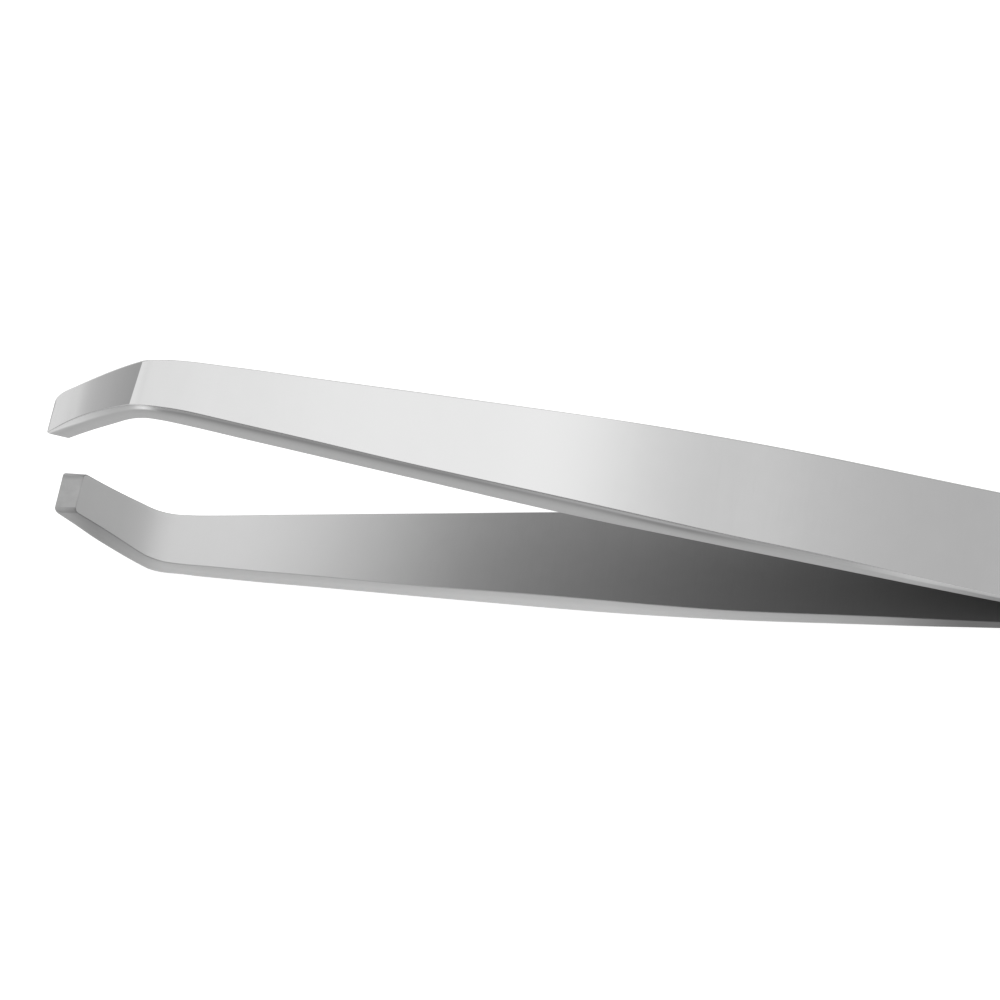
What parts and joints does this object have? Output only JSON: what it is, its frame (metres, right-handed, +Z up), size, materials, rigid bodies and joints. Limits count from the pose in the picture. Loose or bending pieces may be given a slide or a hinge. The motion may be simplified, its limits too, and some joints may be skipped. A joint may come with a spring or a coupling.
{
  "type": "angled tweezers",
  "caption": "Steel spring tweezers: slim arms welded together at the rear, with tips bent inwards to flat gripping faces.",
  "frame": {"origin": "centre of the bounding box at the level of the surface that the tweezers lie on", "axes": "+X from the tips towards the welded rear end, +Y across the width, +Z up; the lower arm lies on the surface and the upper arm stands open above it"},
  "size_m": [0.1, 0.0102, 0.0216],
  "materials": {
    "steel": "satin ground stainless steel with softly polished edges"
  },
  "bodies": {
    "lower_arm": {"lower_arm": "steel"},
    "upper_arm": {"upper_arm": "steel"}
  },
  "joints": [
    {"name": "squeeze", "type": "hinge", "parent": "lower_arm", "child": "upper_arm", "pos_m": [0.03595, 0, 0.00226], "axis": [0, -1, 0], "range_deg": [0, 6.35], "stiffness_Nm_per_rad": 2.6}
  ]
}
